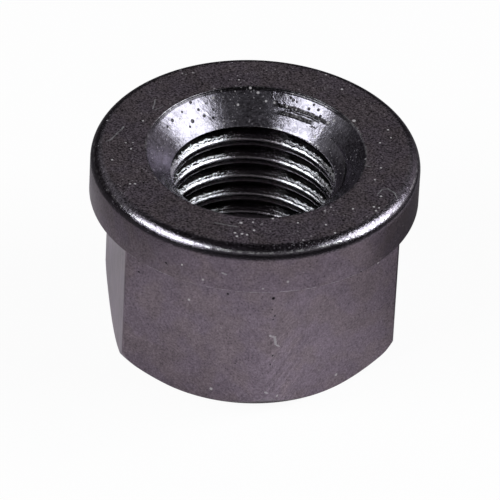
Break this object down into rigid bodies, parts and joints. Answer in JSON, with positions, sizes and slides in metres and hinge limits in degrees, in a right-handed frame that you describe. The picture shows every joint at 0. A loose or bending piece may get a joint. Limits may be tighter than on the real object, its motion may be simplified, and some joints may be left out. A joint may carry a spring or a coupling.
{
  "type": "flange nut",
  "caption": "Hexagon nut with a round flange in one piece with it, a threaded through hole and a countersink at each end.",
  "frame": {"origin": "centre of the hexagon end face, on the thread's axis", "axes": "+Z along the thread towards the flange, +X out of a spanner flat, +Y towards a hexagon corner"},
  "size_m": [0.0288, 0.0288, 0.0185],
  "materials": {
    "black_oxide_steel": "black oxide on turned and milled steel, oiled, bright where the oxide is rubbed off"
  },
  "bodies": {
    "root": {"flange_nut": "black_oxide_steel"}
  },
  "joints": []
}
